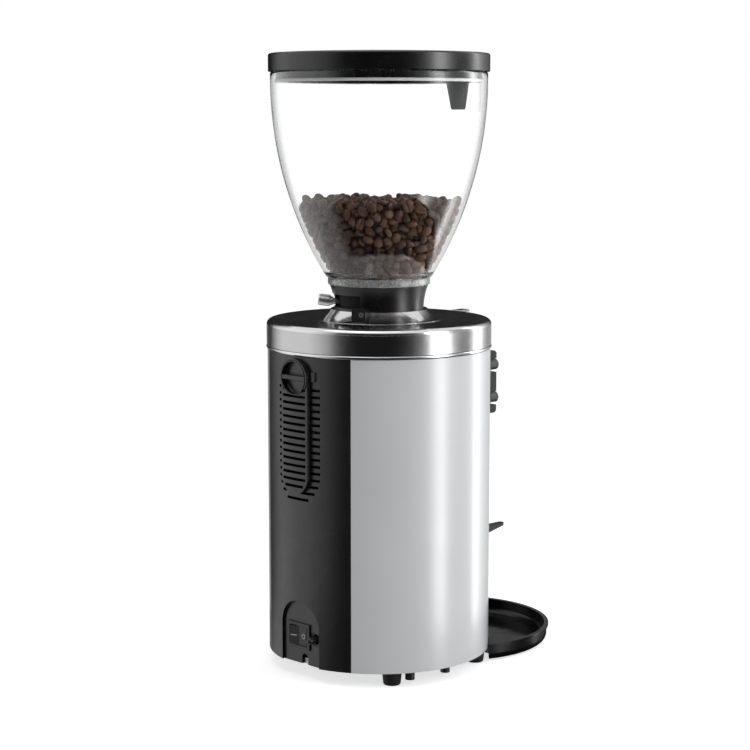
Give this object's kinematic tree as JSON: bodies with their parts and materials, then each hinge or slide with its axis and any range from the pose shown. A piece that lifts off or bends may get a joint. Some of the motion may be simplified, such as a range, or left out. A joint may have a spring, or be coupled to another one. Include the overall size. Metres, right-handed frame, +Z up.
{
  "type": "burr coffee grinder",
  "caption": "Round burr coffee grinder with a flared glass bean hopper and lid, top band, rear vents, switch, control pod, chute, portafilter fork and round tray.",
  "frame": {"origin": "on the counter, below the middle of the overall box", "axes": "+Z up, the front with fork and tray faces -Y, the rear panel faces +Y, +X to the right seen from the front"},
  "size_m": [0.192, 0.2791, 0.5185],
  "materials": {
    "painted_casing": "satin",
    "black_cover": "satin",
    "black_collar": "satin",
    "black_lid": "satin",
    "black_tray": "gloss inside, satin outside",
    "black_chute": "satin",
    "push_button": "satin",
    "switch_plastic": "satin",
    "polished_steel": "polished",
    "brushed_band": "brushed around the band",
    "top_metal": "turned and polished",
    "fork_metal": "satin black",
    "panel_metal": "brushed",
    "display": "gloss",
    "fastener_steel": "zinc plated",
    "cast_aluminium": "as cast",
    "burr_steel": "ground",
    "laminated_iron": "varnished",
    "copper_wire": "enamelled copper",
    "circuit_board": "solder mask",
    "clear_glass": "polished",
    "roasted_beans": "matte",
    "foot_rubber": "matte"
  },
  "bodies": {
    "housing": {"body_shell": "painted_casing", "rear_panel": "black_cover", "vent_cover": "black_cover", "front_fascia": "black_cover", "control_pod": "black_cover", "hopper_collar": "black_collar", "lock_block": "black_collar", "chute": "black_chute", "switch_frame": "switch_plastic", "reset_breaker": "switch_plastic", "run_capacitor": "switch_plastic", "trim_bead": "polished_steel", "front_tab": "polished_steel", "top_band": "brushed_band", "top_plate": "top_metal", "portafilter_fork": "fork_metal", "control_panel": "panel_metal", "display_window": "display", "lock_screw": "fastener_steel", "fork_screws": "fastener_steel", "base_bolts": "fastener_steel", "motor_posts": "fastener_steel", "chamber_bolts": "fastener_steel", "exit_duct": "cast_aluminium", "base_plate": "cast_aluminium", "motor_end_plate": "cast_aluminium", "motor_housing": "cast_aluminium", "grinding_chamber": "cast_aluminium", "lower_bearing": "burr_steel", "upper_bearing": "burr_steel", "stator": "laminated_iron", "windings": "copper_wire", "control_board": "circuit_board", "tact_switches": "circuit_board", "feet": "foot_rubber"},
    "hopper": {"hopper_glass": "clear_glass", "bean_fill": "roasted_beans"},
    "lid": {"lid": "black_lid"},
    "adjuster": {"adjust_ring": "cast_aluminium", "adjust_lever": "polished_steel", "ring_screws": "fastener_steel", "upper_carrier": "cast_aluminium", "upper_burr": "burr_steel", "upper_burr_screws": "fastener_steel"},
    "drive": {"rotor": "laminated_iron", "motor_shaft": "burr_steel", "cooling_fan": "switch_plastic", "burr_carrier": "cast_aluminium", "lower_burr": "burr_steel", "lower_burr_screws": "fastener_steel"},
    "vent_latch": {"vent_latch": "black_cover"},
    "switch_rocker": {"switch_rocker": "switch_plastic"},
    "reset_button": {"reset_button": "switch_plastic"},
    "button_upper_left": {"button_upper_left": "push_button"},
    "button_upper_right": {"button_upper_right": "push_button"},
    "button_lower_left": {"button_lower_left": "push_button"},
    "button_lower_right": {"button_lower_right": "push_button"},
    "coffee_tray": {"coffee_tray": "black_tray"}
  },
  "joints": [
    {"name": "hopper_lift", "type": "slide", "parent": "housing", "child": "hopper", "axis": [0, 0, 1], "range_m": [0, 0.03]},
    {"name": "lid_lift", "type": "slide", "parent": "hopper", "child": "lid", "axis": [0, 0, 1], "range_m": [0, 0.05]},
    {"name": "grind_adjust", "type": "hinge", "parent": "housing", "child": "adjuster", "pos_m": [0, 0.04005, 0.302], "axis": [0, 0, 1], "range_deg": [0, 60]},
    {"name": "motor_spin", "type": "hinge", "parent": "housing", "child": "drive", "pos_m": [0, 0.04005, 0.112], "axis": [0, 0, 1], "continuous": true},
    {"name": "vent_latch_turn", "type": "hinge", "parent": "housing", "child": "vent_latch", "pos_m": [0, 0.13005, 0.2545], "axis": [0, 1, 0], "range_deg": [0, 90]},
    {"name": "power_rocker", "type": "hinge", "parent": "housing", "child": "switch_rocker", "pos_m": [0.0037, 0.12645, 0.0356], "axis": [0, 0, 1], "range_deg": [-18, 0]},
    {"name": "reset_press", "type": "slide", "parent": "housing", "child": "reset_button", "axis": [0, -1, 0], "range_m": [0, 0.003], "stiffness_N_per_m": 300, "springref_m": -0.001},
    {"name": "press_upper_left", "type": "slide", "parent": "housing", "child": "button_upper_left", "axis": [0, 1, 0], "range_m": [0, 0.0015], "stiffness_N_per_m": 400, "springref_m": -0.0005},
    {"name": "press_upper_right", "type": "slide", "parent": "housing", "child": "button_upper_right", "axis": [0, 1, 0], "range_m": [0, 0.0015], "stiffness_N_per_m": 400, "springref_m": -0.0005},
    {"name": "press_lower_left", "type": "slide", "parent": "housing", "child": "button_lower_left", "axis": [0, 1, 0], "range_m": [0, 0.0015], "stiffness_N_per_m": 400, "springref_m": -0.0005},
    {"name": "press_lower_right", "type": "slide", "parent": "housing", "child": "button_lower_right", "axis": [0, 1, 0], "range_m": [0, 0.0015], "stiffness_N_per_m": 400, "springref_m": -0.0005},
    {"name": "tray_slide", "type": "slide", "parent": "housing", "child": "coffee_tray", "axis": [0, -1, 0], "range_m": [0, 0.125]}
  ]
}
